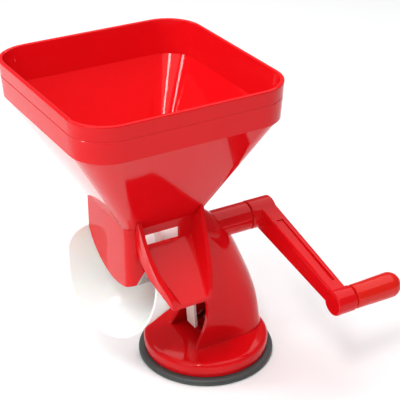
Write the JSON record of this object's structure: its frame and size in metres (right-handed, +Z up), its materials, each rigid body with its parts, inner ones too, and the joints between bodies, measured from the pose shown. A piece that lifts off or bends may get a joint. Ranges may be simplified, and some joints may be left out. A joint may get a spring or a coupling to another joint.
{
  "type": "tomato strainer with crank",
  "caption": "Hand-cranked tomato strainer: square hopper over a screw rotor in a perforated sieve, skin chute, juice tray, hollow column on a suction foot.",
  "frame": {"origin": "centre of the suction foot on the table", "axes": "+X along the drive shaft to the crank, -Y to the skin chute, +Z up"},
  "size_m": [0.2837, 0.2088, 0.2865],
  "materials": {
    "red_plastic": "glossy moulded plastic",
    "grip_plastic": "satin moulded plastic",
    "tray_plastic": "smooth moulded plastic",
    "white_plastic": "smooth moulded plastic",
    "lever_plastic": "off-white moulded plastic",
    "black_rubber": "moulded rubber",
    "steel": "turned steel",
    "sieve_steel": "perforated stainless sheet"
  },
  "bodies": {
    "frame": {"stand": "red_plastic", "base_ring": "red_plastic", "base_screws": "steel", "suction_foot": "black_rubber", "stem_guide": "white_plastic", "rotor_housing": "red_plastic", "housing_screws": "steel", "skin_chute": "red_plastic", "sieve": "sieve_steel", "sieve_end_left": "sieve_steel", "sieve_end_right": "sieve_steel", "column_bush": "white_plastic", "boss_bush": "white_plastic", "shaft_seal": "black_rubber", "rotor_bush": "white_plastic"},
    "hopper": {"hopper": "red_plastic"},
    "tray": {"juice_tray": "tray_plastic"},
    "crank": {"crank_arm": "red_plastic", "crank_washer": "steel", "crank_screw": "steel", "drive_shaft": "steel", "retaining_clip": "steel", "rotor": "white_plastic", "grip_pin": "steel", "grip_washer": "white_plastic"},
    "grip": {"grip": "grip_plastic"},
    "stem": {"suction_stem": "steel", "lever_pin": "steel"},
    "lever": {"suction_lever": "lever_plastic"}
  },
  "joints": [
    {"name": "crank_turn", "type": "hinge", "parent": "frame", "child": "crank", "pos_m": [0, 0, 0.126], "axis": [1, 0, 0], "continuous": true},
    {"name": "grip_turn", "type": "hinge", "parent": "crank", "child": "grip", "pos_m": [0.1, -0.104, 0.085], "axis": [1, 0, 0], "continuous": true},
    {"name": "tray_slide", "type": "slide", "parent": "frame", "child": "tray", "axis": [-1, 0, 0], "range_m": [0, 0.1]},
    {"name": "hopper_lift", "type": "slide", "parent": "frame", "child": "hopper", "axis": [0, 0, 1], "range_m": [0, 0.06]},
    {"name": "stem_lift", "type": "slide", "parent": "frame", "child": "stem", "axis": [0, 0, 1], "range_m": [0, 0.003]},
    {"name": "lever_turn", "type": "hinge", "parent": "stem", "child": "lever", "pos_m": [0, 0, 0.029], "axis": [0, 1, 0], "range_deg": [0, 70]}
  ],
  "couplings": [
    {"joint": "lever_turn", "follows": "stem_lift", "rad_per_m": 407.24}
  ]
}
